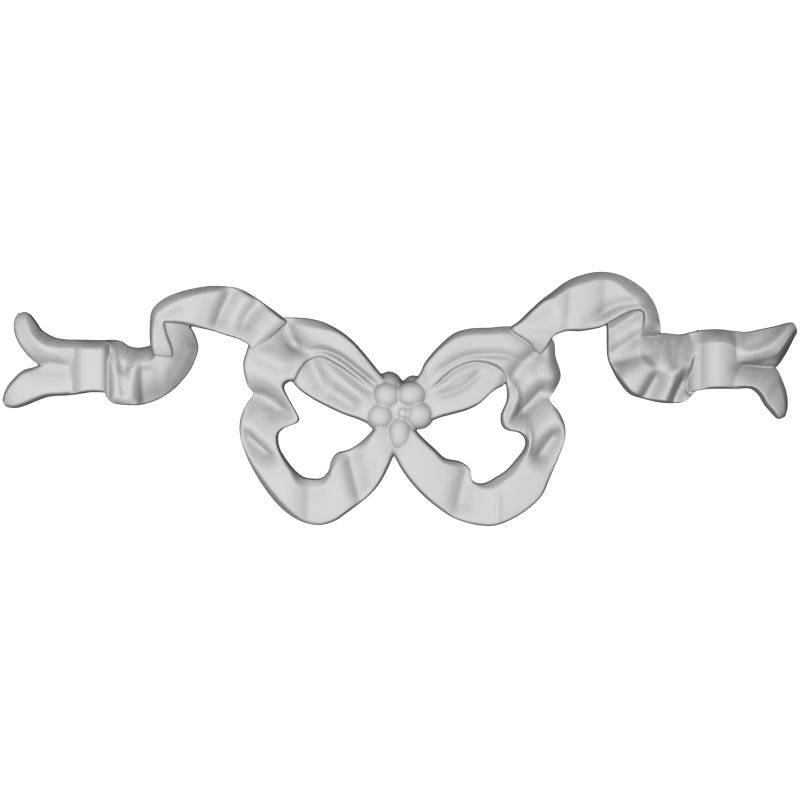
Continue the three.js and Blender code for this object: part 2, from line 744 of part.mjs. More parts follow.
const primedWhite = new THREE.MeshStandardMaterial({ color: 0xdadada, roughness: 0.55, metalness: 0 });
const bowOnlay = new THREE.Mesh(geometryOf(casting).toNonIndexed(), primedWhite);
bowOnlay.geometry.computeVertexNormals();
bowOnlay.name = "bow_onlay";

const group = new THREE.Group();
group.add(bowOnlay);

export default group;
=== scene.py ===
import math

import bpy
import numpy as np
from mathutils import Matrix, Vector


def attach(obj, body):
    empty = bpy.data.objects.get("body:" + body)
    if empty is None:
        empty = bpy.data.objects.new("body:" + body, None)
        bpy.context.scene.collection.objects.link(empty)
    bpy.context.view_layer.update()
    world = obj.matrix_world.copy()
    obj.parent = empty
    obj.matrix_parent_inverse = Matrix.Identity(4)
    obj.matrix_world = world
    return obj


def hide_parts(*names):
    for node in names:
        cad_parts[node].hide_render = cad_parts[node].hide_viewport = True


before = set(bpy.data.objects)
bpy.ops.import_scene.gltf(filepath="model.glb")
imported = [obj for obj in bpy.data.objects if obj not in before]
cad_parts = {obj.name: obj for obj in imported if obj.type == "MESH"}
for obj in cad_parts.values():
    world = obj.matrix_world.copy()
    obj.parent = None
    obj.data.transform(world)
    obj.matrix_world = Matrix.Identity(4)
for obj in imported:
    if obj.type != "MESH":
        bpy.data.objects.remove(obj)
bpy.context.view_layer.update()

# Bow onlay: the casting's fine surface, its primed finish with painted shade on the steep walls and in
# the hollows, and a plain white studio.
# Metres, +Z up. The flat back lies in the plane Y = 0 and the relief faces -Y.

onlay = {
    "node": "bow_onlay",
    "width": 0.635,  # of the squares across below; each end's tip reaches 2 mm past it
    "relief": 0.030,  # the height that the forms below call 100
    "draft": 0.0008,  # how far a side wall leans out down to the back
    "evenSlope": 0.0032,  # an edge rounded over less than this is a quarter round, a wider one a slope
    "squaresAcross": 793,  # squares of the drawing grid in that width
    "squaresPerRing": 1.2,  # length of a facet along a ribbon
    "columns": 46,  # facets across a ribbon
    "edgeCrowding": 0.4,  # 0 spreads them evenly, towards 1 crowds them at the edges
    "foldSteps": 12,  # straight pieces between two points of a fold's path
    "foldFade": 0.3,  # share of a fold's path over which it fades in, and out again
    "grain": 0.0007,  # size of the voxels that the ribbons are fused in
    "knotAt": (0, -5),  # the middle of the part that is softened more, in squares
    "knotReach": 38,
    "knotSoftening": 14,  # passes of smoothing there
    "softening": 3,  # passes over the whole casting
    "mostFaces": 190000,  # triangles that the finished casting is thinned to
}
square = onlay["width"] / onlay["squaresAcross"]

# The relief is drawn on a grid of squares: x counts to the right of the origin and z up. Heights are
# in hundredths of the relief. A station holds edge a (x, z), edge b (x, z), the height midway, how
# much edge b is higher than edge a, and how far in from edges a and b the face is at its full height.
# The crown makes the middle fuller, and the rims are the heights of the side walls at edges a and b.
# A fold holds its path, its lift (a groove below zero), how far it fades to the left and to the right
# of the path, and its form: near 1 a sharp crease, near 2 a round one.
ribbons = {
    # The left end's upper tongue, from its tip in to the tail.
    "leftUpperTongue": {
        "crown": 3,
        "rims": (34, 36),
        "stations": [
            (-377, 88.5, -383, 87, 28, 0, 4, 4),
            (-371.5, 85, -386.8, 79, 42, 0, 5, 4),
            (-366, 78, -386, 66, 51, -3, 7, 4),
            (-360, 69.5, -379, 52, 56, -6, 9, 4),
            (-349, 63, -367, 39, 58, -10, 10, 5),
            (-338, 60.5, -352, 33, 58, -12, 9.5, 6),
            (-327, 60, -334, 28, 54, -8, 9, 6),
            (-316, 60, -320, 24, 46, -6, 9, 6),
        ],
        "folds": [
            ([(-392, 42), (-368, 34), (-352, 31), (-339, 28), (-318, 24)], -15, 11, 16, 1.9),
            ([(-377, 92), (-369, 66), (-354, 50), (-338, 44), (-328, 36)], 5, 5, 6, 2),
        ],
    },
    # The left end's lower tongue.
    "leftLowerTongue": {
        "crown": 3,
        "rims": (26, 26),
        "stations": [
            (-399, 0, -396, -6.5, 32, 0, 5, 3.5),
            (-396, 10, -387, -7.5, 43, 0, 5, 3.5),
            (-389, 20, -377, -5, 49, 0, 5, 3.5),
            (-379, 29, -365, 0, 51, 0, 5, 3.5),
            (-366, 33, -353, 4, 51, 3, 4, 3.5),
            (-350, 39, -339, 5, 51, 3, 2, 3.5),
            (-336, 40, -327, 6, 50, 3, 2, 3.5),
            (-322, 40, -316, 8, 46, 3, 2, 3.5),
        ],
        "folds": [
            ([(-392, 42), (-368, 34), (-352, 31), (-339, 28), (-318, 24)], -8, 9, 12, 1.9),
        ],
    },
    # The flat stretch of the left tail, with a soft valley where the tongues meet it.
    "leftTail": {
        "crown": 0,
        "rims": (36, 56),
        "stations": [
            (-336, 60, -336, 6.5, 44, 0, 9, 2.5),
            (-329, 60, -329, 6.3, 50, 0, 9, 2.5),
            (-318.5, 60, -318.5, 7.4, 68, 0, 9, 2.5),
            (-311, 59.7, -311, 8.5, 69, 0, 9, 2.5),
            (-302, 59.5, -302, 8.5, 69, 0, 9, 2.5),
            (-296, 59.5, -296, 8, 65, 0, 9, 2.5),
            (-291, 58, -291, 6, 46, 0, 9, 2.5),
            (-287, 54, -287, 4, 22, 0, 4, 2.5),
        ],
        "folds": [],
    },
    # The pleated turn under the left arc. Its upper half slopes back to the top edge.
    "leftCurl": {
        "crown": 0,
        "rims": (16, 56),
        "stations": [
            (-295, 60, -295, 4, 46, 0, 8, 3),
            (-290, 60, -290, -1, 58, 0, 9, 3),
            (-285, 59.5, -286, -3, 70, 0, 16, 6),
            (-279, 58, -279, -4, 79, 0, 25, 8),
            (-272, 53.5, -270, -4.5, 83, 0, 24, 9),
            (-262, 52, -260, -4, 83, 0, 18, 9),
            (-252, 54, -249, -1, 81, 0, 18, 9),
            (-245, 56, -238, 4, 75, 4, 12, 7),
            (-242, 56, -226, 13, 71, 2, 4, 4),
            (-240, 57, -213, 28, 69, 2, 2, 3),
            (-240, 60, -206, 42, 69, 2, 2, 3),
            (-240, 65, -203.5, 54, 70, 0, 2, 3),
            (-241, 71, -207, 66, 70, 0, 2, 3),
            (-242, 79, -213, 76, 70, 0, 2, 3),
        ],
        "folds": [
            ([(-304, 66), (-287, 46), (-277, 33), (-266, 18)], -16, 8, 5, 1.8),
            ([(-281, 42), (-277, 20), (-274, -6)], -13, 10, 5, 1.8),
            ([(-258.5, 48), (-257.5, 14), (-257, -20)], -24, 14, 7, 1.8),
            ([(-251, 60), (-247, 28), (-243, -8)], -9, 8, 12, 1.8),
            ([(-280, -20), (-262, -14), (-246, -9), (-234, -4), (-220, 6), (-206, 23), (-198, 40),
              (-195, 54), (-199, 70), (-208, 90), (-220, 112)], -72, 22, 20, 1.9),
        ],
    },
    # The ribbon that swings over from the left curl to the left loop.
    "leftArc": {
        "crown": 1,
        "rims": (48, 64),
        "stations": [
            (-247, 45, -227.5, 43.5, 67, -10, 4, 2.5),
            (-250, 56, -228, 52, 77, -12, 5, 3),
            (-250.5, 74, -232.5, 66, 80, -10, 6, 3),
            (-248.5, 89, -235, 76.5, 80, 0, 8, 3),
            (-240, 99, -230, 77.5, 80, 2, 10, 3),
            (-227, 106, -222, 77, 79, 2, 10, 3),
            (-210, 111, -214, 76, 78, 0, 9, 3),
            (-190, 114, -200, 73, 78, 0, 8, 3),
            (-170, 113, -187, 70, 79, 0, 7, 3),
            (-159, 110, -175, 66, 80, 0, 6, 3),
            (-148, 104, -162, 62, 80, 0, 5, 3),
            (-135, 95, -153, 57, 78, 0, 4, 3),
            (-124, 87, -149.5, 52, 76, 0, 3.5, 3),
            (-118, 82.3, -147.8, 50, 71, 0, 3.5, 2),
            (-113, 78.5, -146, 47.5, 60, 0, 2, 2),
        ],
        "folds": [
            ([(-160, 138), (-171, 104), (-179, 86), (-192, 48)], -30, 18, 8, 1.8),
            ([(-124, 128), (-142, 97), (-153, 82), (-170, 42)], -28, 16, 9, 1.8),
            ([(-180, 124), (-192, 90), (-204, 58)], -6, 12, 8, 2),
            ([(-248, 70), (-243, 82), (-228, 92), (-204, 100)], -6, 7, 7, 2),
        ],
    },
    # The left loop, from the knot over the top, round the bow and back under the knot.
    "leftLoop": {
        "crown": 2,
        "rims": (43, 46),
        "stations": [
            (-6, 10, -16, -6, 40, 0, 4, 4),
            (-19, 25, -28, 8, 54, -2, 4, 4),
            (-36, 46, -50, 26, 67, -2, 3, 4),
            (-49, 60, -65, 36, 70, -4, 3, 4),
            (-63, 70.5, -80, 43, 69, -3, 4.5, 4),
            (-80, 78.5, -92, 40, 65, 0, 8, 4),
            (-100, 82, -100, 30, 64, 0, 9, 4),
            (-125, 80, -105, 20, 64, 0, 8, 4),
            (-147, 62, -112, 19, 65, 0, 4, 3),
            (-155, 45, -117, 14, 64, 0, 4, 3),
            (-157, 33, -114, 5, 64, 0, 4, 3),
            (-153, 15, -107, -8, 60, 0, 4, 3),
            (-147, 6, -102, -18, 58, 0, 4, 3),
            (-154, -5, -105, -23, 62, 0, 4, 3),
            (-159.5, -18, -117, -28, 65, 0, 4, 3),
            (-160.5, -32, -123, -35, 65, 0, 4, 1.5),
            (-157.5, -46, -122, -47, 64, 0, 4.5, 1.5),
            (-149, -66, -117, -57, 67, 0, 5, 2),
            (-135, -89, -108, -69, 70, 0, 6, 4),
            (-119, -108, -99, -77, 71, 0, 6.5, 8),
            (-101, -120.5, -90, -79.5, 69, 0, 5, 9),
            (-82, -125, -79, -79, 67, 0, 3.5, 8.5),
            (-66, -121, -72, -72, 66, 0, 3, 7.5),
            (-54, -113, -69, -62, 65, 0, 3, 8),
            (-42, -104, -63, -54, 65, 0, 3, 8),
            (-30, -94, -50, -50, 66, 0, 3, 8),
            (-20, -82, -38, -42, 67, 0, 3.5, 7),
            (-12, -67, -29, -33, 65, 0, 4, 5),
            (-5, -53, -20, -23, 58, 0, 5, 4),
            (6, -44, -8, -18, 46, 0, 5, 4),
        ],
        "folds": [
            ([(-98, 50), (-77, 50), (-60, 43), (-44, 31), (-28, 18), (-8, 0)], -15, 3.5, 3.5, 1.8),
            ([(-96, 100), (-112, 78), (-121, 68), (-132, 58), (-150, 44)], -7, 9, 6, 1.8),
            ([(-118, 94), (-113, 74), (-106, 58), (-97, 42)], -18, 9, 15, 1.8),
            ([(-124, 70), (-106, 55), (-91, 47), (-66, 40)], -19, 11, 9, 1.9),
            ([(-150, 49), (-128, 41), (-104, 30)], 8, 8, 8, 2),
            ([(-182, 7), (-147, 6), (-131, 0), (-118, -11), (-94, -38)], -34, 11, 24, 1.8),
            ([(-163, -24), (-149, -39), (-137, -50), (-119, -66)], -22, 5.5, 12, 1.8),
            ([(-90, -66), (-89, -154)], -13, 22, 12, 1.9),
            ([(-56, -34), (-48, -66), (-43, -86), (-35, -122)], -22, 20, 8, 1.7),
        ],
    },
    # The inner face of the left loop, seen below its top band.
    "leftLining": {
        "crown": 3,
        "rims": (36, 36),
        "stations": [
            (-106, 27, -109, 20, 40, 0, 3, 3),
            (-103, 37, -101, 11, 50, 0, 3, 3),
            (-88, 45, -88, 2, 52, 8, 3, 3),
            (-70, 43, -74, -5.5, 53, 10, 3, 3),
            (-51, 33, -58, -13, 54, 10, 3, 3),
            (-33, 19, -40, -19.5, 53, 8, 3, 3),
            (-20, 8, -27, -26, 52, 2, 3, 3),
        ],
        "folds": [
            ([(-88, 44), (-68, 28), (-44, 8), (-20, -8)], 10, 6, 8, 1.9),
            ([(-98, 56), (-87, 34), (-80, 18), (-74, -6)], -13, 10, 11, 1.9),
            ([(-76, 14), (-57, 1), (-36, -12)], -11, 9, 9, 2),
        ],
    },
    # The right loop, the same way round as seen in a mirror.
    "rightLoop": {
        "crown": 2,
        "rims": (45, 44),
        "stations": [
            (8, 10, 16, -8, 40, 0, 3, 4),
            (20, 26, 28, 4, 54, -2, 3, 4),
            (26, 38, 38, 16, 65, -2, 3, 4),
            (39, 53, 52, 29, 69, -4, 4, 4),
            (54, 66, 66, 36, 68, -2, 6, 4),
            (70, 71, 80, 38, 66, 0, 7, 4),
            (90, 72, 95, 34, 66, 0, 7.5, 4),
            (112, 73, 104, 26, 66, 0, 7.5, 4),
            (134, 66, 107, 15, 65, 0, 8, 4),
            (153, 60, 108, 7, 64, 0, 4, 4),
            (156, 43, 107, -2, 64, 0, 4, 4),
            (161, 24, 102, -14, 64, 0, 4, 4),
            (155, 9, 103, -25, 62, 0, 5, 4),
            (149.5, 0, 109, -30, 63, -4, 4.5, 3),
            (159, -12, 120, -32.5, 66, -4, 5, 3),
            (165, -26, 126, -39, 67, -4, 4.5, 3),
            (165, -40, 125.5, -48, 66, -4, 4, 4),
            (158.5, -58, 117, -60, 65, -2, 4, 7),
            (150, -78, 107, -71, 63, 0, 3.5, 9),
            (141, -97, 96.5, -78, 64, 0, 3, 9),
            (122, -113.5, 88, -83, 64, 0, 3, 8),
            (98, -125, 80, -84.5, 64, 0, 3, 5),
            (78, -125, 72.5, -81, 63, 0, 3, 5),
            (58, -119.5, 70, -70, 62, 0, 3, 8),
            (43, -111, 60, -62.5, 64, 0, 3.5, 7),
            (27, -98.5, 45, -59, 65, 0, 3.5, 5),
            (13, -84, 35, -50, 66, 0, 3.5, 4),
            (2, -69, 23, -39, 65, 0, 3.5, 4),
            (-6, -54, 13, -28, 58, 0, 4, 4),
            (-10, -44, 6, -20, 46, 0, 5, 4),
        ],
        "folds": [
            ([(20, 14), (44, 32), (66, 43), (94, 45.5), (114, 42), (136, 32)], -11, 5, 4.5, 1.8),
            ([(158, 62), (135, 46), (122, 35), (113, 22), (106, -2)], -26, 18, 9, 1.8),
            ([(94, 84), (117, 70), (131, 60), (140, 49), (150, 32)], -13, 6, 7, 1.8),
            ([(148, 54), (142, 32), (146, 4)], 5, 7, 7, 2),
            ([(154, 22), (142, 10), (131, -2), (121, -12), (106, -28)], -42, 18, 9.5, 1.5),
            ([(108, 26), (117, 6), (115, -8), (104, -28)], 8, 3, 3, 2),
            ([(166, -24), (152, -39), (143, -51), (130, -70)], -30, 15, 7.5, 1.8),
            ([(129, -22), (130, -42), (126, -60)], 8, 3, 3, 2),
            ([(98, -84), (98, -134)], 3, 3, 3, 1.8),
            ([(72, -46), (64, -80), (60, -98), (54, -134)], -18, 20, 10, 1.7),
            ([(158, 78), (157, 60), (159, 43), (164, 24), (157, 8), (146, -10)], -44, 9, 8, 1.8),
        ],
    },
    # The inner face of the right loop.
    "rightLining": {
        "crown": 3,
        "rims": (36, 36),
        "stations": [
            (106, 22, 104, 15, 38, 0, 3, 3),
            (104, 33, 94, 9.5, 49, 4, 3, 3),
            (94, 40, 80, -3, 52, 10, 3, 3),
            (76, 43, 67, -9.5, 54, 10, 3, 3),
            (58, 38, 53, -13.5, 55, 10, 3, 3),
            (42, 26, 40, -17, 54, 8, 3, 3),
            (26, 16, 26, -22, 50, 2, 3, 3),
            (12, 8, 14, -20, 46, 0, 3, 3),
        ],
        "folds": [
            ([(18, 0), (44, 15), (62, 27), (90, 36)], 7, 5, 4, 1.9),
            ([(30, 2), (56, 9), (72, 20), (86, 34)], -7, 4, 4, 1.9),
        ],
    },
    # The ribbon that swings over from the right loop to the right curl.
    "rightArc": {
        "crown": 1,
        "rims": (45, 68),
        "stations": [
            (134, 50, 141, 46, 48, 0, 4, 3),
            (129, 57, 146, 53, 61, 0, 4, 3),
            (120, 63, 150, 60, 69, 0, 4, 3),
            (110, 71, 155, 65, 72, 0, 4, 4),
            (120, 79, 160, 67.5, 76, 0, 3.5, 3),
            (131, 89.5, 164, 69, 77, 0, 3.5, 3),
            (142, 99.5, 168, 70, 78, 0, 4, 3),
            (152, 107, 173, 70, 79, 0, 6, 3),
            (166, 117.5, 181, 70, 78, 0, 8, 3),
            (180, 124, 191, 71.5, 76, 0, 9, 3),
            (198, 128, 202, 74, 75, 0, 9, 3),
            (216, 126.5, 211, 79, 76, 0, 10, 3),
            (233, 119, 223, 85.5, 79, 0, 14, 3),
            (247, 108, 235, 90, 80, 0, 15, 3),
            (256, 94, 243, 88, 80, 0, 14, 2.5),
            (260, 79, 243.5, 78, 77, 0, 14, 2.5),
            (261, 71, 242, 68, 50, 4, 13, 2.5),
            (260, 64, 240, 60, 22, 4, 12, 2.5),
            (257, 55, 238, 52, 6, 0, 10, 3),
        ],
        "folds": [
            ([(208, 142), (206, 112), (205, 92), (204, 76)], -8, 14, 8, 2),
            ([(170, 122), (168, 88), (167, 52)], -6, 8, 5, 1.7),
            ([(112, 88), (134, 86), (156, 96)], -6, 8, 9, 1.8),
            ([(178, 68), (206, 89), (228, 96.5), (258, 95)], -11, 7, 5, 2),
        ],
    },
    # The deeply pleated turn under the right arc.
    "rightCurl": {
        "crown": 0,
        "rims": (16, 56),
        "stations": [
            (246, 94, 208, 84, 66, 0, 6, 2.5),
            (248, 82, 208.5, 70, 68, 0, 6, 2.5),
            (248, 72, 208.5, 55, 68, 0, 6, 2.5),
            (250, 68, 209.5, 42, 74, 0, 14, 2.5),
            (254, 66, 213.5, 32, 80, 0, 20, 2.5),
            (258, 66, 220, 20, 86, 0, 28, 2.5),
            (262, 66.5, 231, 7, 90, 0, 35, 2.5),
            (268, 66.5, 245, 2, 92, 0, 38, 2.5),
            (276, 65.5, 260, -1.5, 92, 0, 40, 2.5),
            (284, 65.5, 274, -2.5, 90, 0, 37, 2.5),
            (291, 66, 285, -1, 78, 0, 35, 2.5),
            (296, 68, 292, 4, 60, 0, 24, 2.5),
            (300, 70, 297, 10, 46, 0, 16, 2.5),
        ],
        "folds": [
            ([(192, 58), (214, 72), (231, 83), (252, 98)], -24, 7, 13, 1.8),
            ([(190, 34), (214, 48), (232, 58), (256, 76)], -30, 8, 15, 1.8),
            ([(196, 30), (218, 38), (240, 43), (262, 44)], -18, 8, 15, 1.8),
            ([(216, 18), (236, 32), (250, 44)], 6, 8, 8, 2),
            ([(233, -16), (245, 4), (253, 18), (265, 40)], -36, 6.5, 15, 1.8),
            ([(268, -20), (275, 1), (281, 15), (290, 38)], -50, 6, 12, 1.8),
            ([(288, 2), (291, 14), (295, 30), (298, 52)], -26, 4, 5, 1.6),
            ([(273, 68), (273, 26)], -10, 5, 5, 1.8),
            ([(256, 66), (254, 28)], -8, 5, 5, 1.8),
        ],
    },
    # The flat stretch of the right tail, with a soft crest down its middle.
    "rightTail": {
        "crown": 0,
        "rims": (38, 62),
        "stations": [
            (286, 66, 286, 7, 20, 0, 13, 2.5),
            (292, 67.5, 292, 8.5, 44, 0, 13, 2.5),
            (300, 69, 300, 10.5, 57, 0, 13, 2.5),
            (307, 70, 307, 11.5, 71, 0, 13, 2.5),
            (315, 70.5, 315, 12, 79, 0, 13, 2.5),
            (323, 70.3, 323, 12, 79, 0, 13, 2.5),
            (331, 69.3, 331, 12, 71, 0, 14, 2.5),
            (339, 68, 339, 12, 58, 0, 17, 2.5),
            (346, 67, 346, 12.5, 40, 0, 20, 2.5),
            (352, 66, 352, 14, 20, 0, 20, 2.5),
        ],
        "folds": [
            ([(324, 29), (342, 33), (360, 37), (400, 46)], -8, 6, 7, 1.8),
        ],
    },
    # The right end's upper tongue, out to its tip.
    "rightUpperTongue": {
        "crown": 2,
        "rims": (38, 8),
        "stations": [
            (316, 70, 316, 30, 44, 0, 13, 6),
            (328, 69.5, 328, 31, 57, 0, 14, 5),
            (338, 68.5, 338, 31.5, 63, -2, 17, 6),
            (348, 67.8, 348, 32, 65, -4, 20, 7.5),
            (358, 69.5, 360, 32, 67, -6, 20, 9.5),
            (370, 72, 377, 33, 66, -8, 16, 12.5),
            (381, 74.5, 387, 45, 60, -6, 9, 12),
            (389, 76.8, 394, 58, 50, -4, 5, 9),
            (394.5, 77.5, 399.5, 69, 36, 0, 4, 5),
        ],
        "folds": [
            ([(336, 43), (350, 47), (364, 52), (376, 60), (392, 76)], 6, 6, 7, 2),
            ([(324, 29), (342, 33), (360, 37), (400, 46)], -16, 6, 7, 1.8),
        ],
    },
    # The right end's lower tongue.
    "rightLowerTongue": {
        "crown": 2,
        "rims": (16, 36),
        "stations": [
            (316, 42, 316, 12, 54, 10, 3, 2.5),
            (328, 42, 328, 12.2, 62, 12, 3, 2.5),
            (339, 41, 339, 12.2, 60, 20, 3, 2.5),
            (350, 39, 347, 12.5, 52, 36, 3, 2.5),
            (363, 36, 354, 11.5, 45, 50, 3, 2.5),
            (377, 32, 360.5, 6, 44, 54, 3, 2.5),
            (383.5, 21, 366.5, -4, 46, 46, 6, 2.5),
            (388.5, 7, 373, -11.5, 48, 32, 7, 2.5),
            (389.5, -7, 378.5, -17.5, 42, 20, 6, 2.5),
            (387, -16.5, 382, -19, 28, 0, 3, 2.5),
        ],
        "folds": [
            ([(324, 29), (342, 33), (360, 37), (400, 46)], -10, 6, 7, 1.8),
        ],
    },
}

# Petals, with the boss under them and the button: middle (x, z), half width and half height, turn in
# degrees, the height that the dome starts from and how much it rises.
petals = [
    (-13.5, 4.5, 14.5, 14, 0, 42, 29),
    (11, 5.5, 16, 13.5, 6, 42, 30),
    (19, -15, 15, 14.5, 0, 40, 31),
    (-0.5, -33.5, 13.5, 18.5, 0, 39, 33),
    (-20, -16, 15, 14.5, 0, 39, 32),
    (-10, 9, 15, 20, 6, 4, 56),
    (12.5, 8, 12.5, 17, -4, 4, 54),
    (0, -8, 27, 25, 0, 40, 18),
    (3, -13, 5.5, 5.5, 0, 56, 10),
]


def deselectAll():
    if bpy.context.object and bpy.context.object.mode == "EDIT":
        bpy.ops.object.mode_set(mode="OBJECT")
    bpy.ops.object.select_all(action="DESELECT")


def pointsOf(mesh):
    points = np.empty(len(mesh.vertices) * 3)
    mesh.vertices.foreach_get("co", points)
    return points.reshape(-1, 3)


def setModifier(piece, name, kind, **settings):
    modifier = piece.modifiers.new(name, kind)
    for key, value in settings.items():
        setattr(modifier, key, value)
    bpy.ops.object.modifier_apply(modifier=name)


def smoothRun(rows, u):  # a smooth curve through rows of numbers, at each place in u
    rows = np.array(rows, float)
    last = len(rows) - 1
    i = np.clip(np.floor(u).astype(int), 0, last - 1)
    f = (u - i)[:, None]
    start, end = rows[i], rows[i + 1]
    before = np.where((i > 0)[:, None], rows[np.maximum(i - 1, 0)], 2 * start - end)
    after = np.where((i + 2 <= last)[:, None], rows[np.minimum(i + 2, last)], 2 * end - start)
    bend = 2 * before - 5 * start + 4 * end - after
    twist = 3 * start - before - 3 * end + after
    return start + ((end - before) * f + bend * f**2 + twist * f**3) / 2


def risen(distance, roll):  # the share of its full height that a face has at a distance from its edge
    short = np.clip(1 - distance / roll, 0, 1)
    power = 1 + np.minimum(1, (onlay["evenSlope"] / square / roll) ** 2)
    return (1 - short**power) ** (1 / power)


def foldLift(fold, x, z):  # what a fold adds to the height at each point
    path, lift, left, right, form = fold
    steps = onlay["foldSteps"] * (len(path) - 1)
    line = smoothRun(path, np.linspace(0, len(path) - 1, steps + 1))
    nearest = np.full(x.shape, np.inf)
    onLeft = np.zeros(x.shape, bool)
    along = np.zeros(x.shape)
    for i in range(steps):
        dx, dz = line[i + 1] - line[i]
        px, pz = x - line[i][0], z - line[i][1]
        k = np.clip((px * dx + pz * dz) / (dx * dx + dz * dz), 0, 1)
        distance = np.hypot(px - k * dx, pz - k * dz)
        closer = distance < nearest
        nearest = np.where(closer, distance, nearest)
        onLeft = np.where(closer, dx * pz - dz * px > 0, onLeft)
        along = np.where(closer, (i + k) / steps, along)
    reach = np.clip(np.minimum(along, 1 - along) / onlay["foldFade"], 0, 1)
    fade = reach * reach * (3 - 2 * reach)
    width = np.where(onLeft, left, right)
    return lift * np.exp(-((nearest / width) ** form)) * fade


def layRibbon(name, ribbon):
    stations = ribbon["stations"]
    ends = np.array(stations)[:, :4]
    steps = np.diff(ends, axis=0)
    length = np.maximum(np.hypot(steps[:, 0], steps[:, 1]), np.hypot(steps[:, 2], steps[:, 3])).sum()
    rings = round(length / onlay["squaresPerRing"])
    columns = onlay["columns"]
    deselectAll()
    bpy.ops.mesh.primitive_grid_add(x_subdivisions=columns + 2, y_subdivisions=rings, size=1)
    sheet = bpy.context.object
    sheet.name = name
    flat = pointsOf(sheet.data)
    column = np.round((flat[:, 0] + 0.5) * (columns + 2)) - 1  # -1 and columns + 1 are the walls' feet
    even = np.clip(column / columns, 0, 1)
    t = even - onlay["edgeCrowding"] * np.sin(2 * np.pi * even) / (2 * np.pi)

    row = smoothRun(stations, (flat[:, 1] + 0.5) * (len(stations) - 1))
    ax, az, bx, bz, height, tip, rollA, rollB = row.T
    width = np.hypot(bx - ax, bz - az)
    x, z = ax + (bx - ax) * t, az + (bz - az) * t
    full = height + tip * (t - 0.5) + ribbon["crown"] * (1 - (2 * t - 1) ** 2)
    for fold in ribbon["folds"]:
        full = full + foldLift(fold, x, z)
    wallA, wallB = (np.minimum(rim, full) for rim in ribbon["rims"])
    fromA = wallA + (full - wallA) * risen(t * width, rollA)
    fromB = wallB + (full - wallB) * risen((1 - t) * width, rollB)
    front = np.minimum(fromA, fromB) / 100 * onlay["relief"]

    foot = (column < 0) | (column > columns)
    outward = np.where(column < 0, -1, 1) * np.where(foot, onlay["draft"], 0)
    shaped = np.stack([
        x * square + (bx - ax) / width * outward,
        np.where(foot, 0, -front),
        z * square + (bz - az) / width * outward,
    ], axis=1)
    sheet.data.vertices.foreach_set("co", shaped.ravel())
    sheet.data.update()
    closeBack()
    return sheet


def closeBack():  # carries a copy of the open shell back to the plane of the flat back
    bpy.ops.object.mode_set(mode="EDIT")
    bpy.ops.mesh.select_all(action="SELECT")
    bpy.ops.mesh.extrude_region_move(TRANSFORM_OT_translate={"value": (0, 0, 0)})
    bpy.ops.transform.resize(value=(1, 0, 1), center_override=(0, 0, 0))
    bpy.ops.mesh.select_all(action="SELECT")
    bpy.ops.mesh.remove_doubles(threshold=1e-6)
    bpy.ops.mesh.normals_make_consistent(inside=False)
    bpy.ops.object.mode_set(mode="OBJECT")


def setPetal(petal):
    x, z, wide, tall, turn, foot, rise = petal
    level = foot / 100 * onlay["relief"]
    deselectAll()
    bpy.ops.mesh.primitive_uv_sphere_add(segments=48, ring_count=24, radius=1)
    dome = bpy.context.object
    bpy.ops.object.mode_set(mode="EDIT")
    bpy.ops.mesh.select_all(action="SELECT")
    bpy.ops.transform.resize(value=(wide * square, rise / 100 * onlay["relief"], tall * square))
    bpy.ops.transform.rotate(value=math.radians(turn), orient_axis="Y", center_override=(0, 0, 0))
    bpy.ops.transform.translate(value=(x * square, -level, z * square))
    bpy.ops.mesh.bisect(plane_co=(0, -level, 0), plane_no=(0, 1, 0), clear_outer=True)
    bpy.ops.object.mode_set(mode="OBJECT")
    closeBack()
    return dome


def fuse(parts):  # makes one casting of all the parts
    deselectAll()
    for part in parts:
        part.select_set(True)
    bpy.context.view_layer.objects.active = parts[0]
    bpy.ops.object.join()
    whole = bpy.context.object
    whole.name = whole.data.name = "bow_casting"
    setModifier(whole, "fuse", "REMESH", mode="VOXEL", voxel_size=onlay["grain"])
    print("fused:", len(whole.data.polygons), "faces")
    return whole


def softenCasting(whole):  # rounds the inside corners, most of all at the knot
    knotX, knotZ = onlay["knotAt"]
    x, _, z = pointsOf(whole.data).T / square
    near = np.hypot(x - knotX, z - knotZ) < onlay["knotReach"]
    knot = whole.vertex_groups.new(name="knot")
    knot.add(np.nonzero(near)[0].tolist(), 1, "REPLACE")
    setModifier(whole, "softenKnot", "SMOOTH", iterations=onlay["knotSoftening"], factor=0.5,
                vertex_group="knot")
    setModifier(whole, "soften", "SMOOTH", iterations=onlay["softening"], factor=0.5)
    triangles = 2 * len(whole.data.polygons)
    setModifier(whole, "thin", "DECIMATE", ratio=onlay["mostFaces"] / triangles)
    bpy.ops.object.shade_smooth()
    print("casting:", len(whole.data.polygons), "triangles")


def makeCasting():
    parts = [layRibbon(name, ribbon) for name, ribbon in ribbons.items()]
    parts += [setPetal(petal) for petal in petals]
    print("laid", len(parts), "parts of the relief")
    whole = fuse(parts)
    softenCasting(whole)
    return whole


primer = {
    "white": (0.80, 0.80, 0.80, 1),
    "thin": (0.30, 0.30, 0.305, 1),  # painted shade: the grey that steep walls and hollows are painted towards as though shade fell there; the mottle leans the white towards it too
    "roughness": 0.55,
    "roughnessSpread": 0.1,
    "hollowPasses": 60,  # how many edges away the surface round a point reaches
    "hollowDepth": 0.002,  # a point this far behind the surface round it is a full hollow
    "hollowShadeShare": 0.35,  # how much painted shade a full hollow gets
    "mottleScale": 60.0,
    "mottleShare": 0.08,
    "grainScale": 900.0,
    "grainHeight": 0.00004,
}


